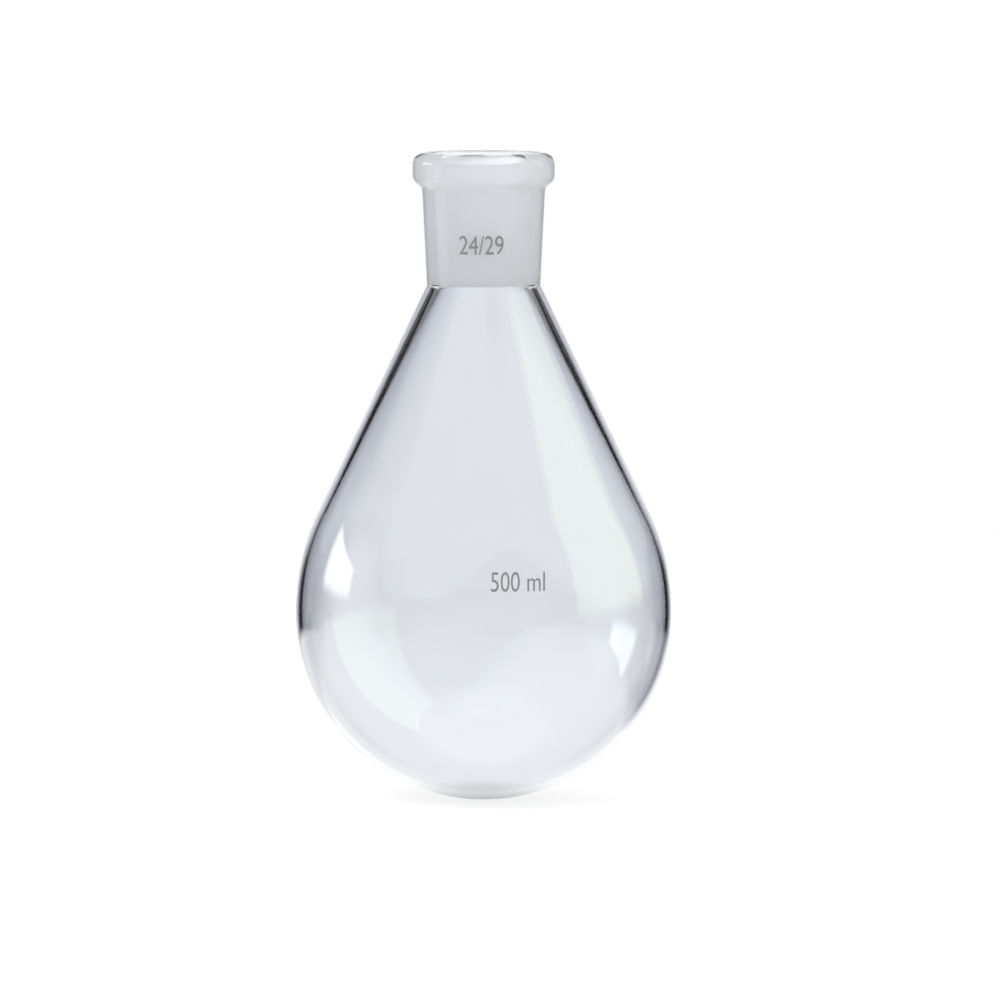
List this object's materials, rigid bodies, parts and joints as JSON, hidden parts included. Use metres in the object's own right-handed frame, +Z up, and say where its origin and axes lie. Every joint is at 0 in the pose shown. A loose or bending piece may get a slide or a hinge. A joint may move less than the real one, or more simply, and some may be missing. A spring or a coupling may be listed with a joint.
{
  "type": "pear-shaped flask",
  "caption": "Pear-shaped evaporating flask of clear blown glass with a round bottom, a ground 24/29 conical socket and a beaded rim.",
  "frame": {"origin": "centre of the ground socket's mouth, in the plane where the taper measures 24.0 mm, 2.7 mm below the top of the rim", "axes": "+Z up along the neck's axis, out of the mouth; the body is round about Z, so X and Y are free"},
  "size_m": [0.09, 0.09, 0.155],
  "materials": {
    "clear_glass": "clear fire-polished borosilicate glass, matt where the inside of the socket is ground",
    "marking": "thin grey fired-on marking"
  },
  "bodies": {
    "root": {"flask": "clear_glass"}
  },
  "joints": []
}
